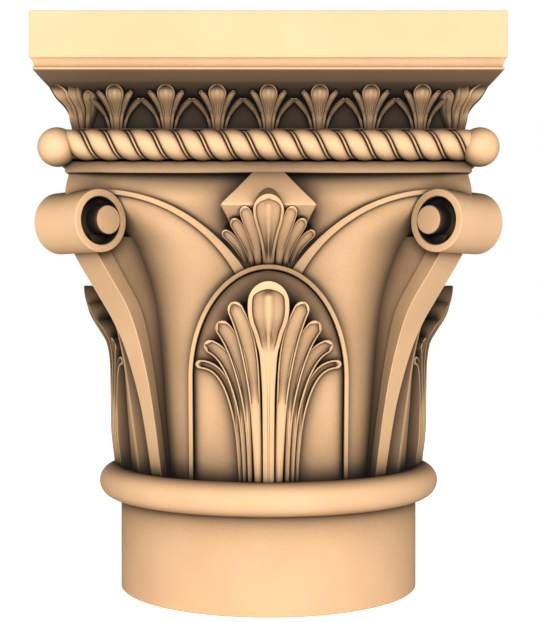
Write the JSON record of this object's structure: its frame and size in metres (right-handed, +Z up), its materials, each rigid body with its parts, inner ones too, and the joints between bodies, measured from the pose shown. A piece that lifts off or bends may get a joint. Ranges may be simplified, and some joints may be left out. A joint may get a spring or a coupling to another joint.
{
  "type": "corinthian capital",
  "caption": "Square-topped Corinthian capital carved in one block of warm stone, with leaves, corner scrolls, a cable moulding and palmettes above a round neck.",
  "frame": {"origin": "middle of the flat round underside of the neck", "axes": "+Z up the column, X and Y square to the faces of the slab, the scrolls on the diagonals"},
  "size_m": [0.4184, 0.4184, 0.5365],
  "materials": {
    "stone": "fine-grained warm buff stone, matt, darker in the cut hollows"
  },
  "bodies": {
    "root": {"capital": "stone"}
  },
  "joints": []
}
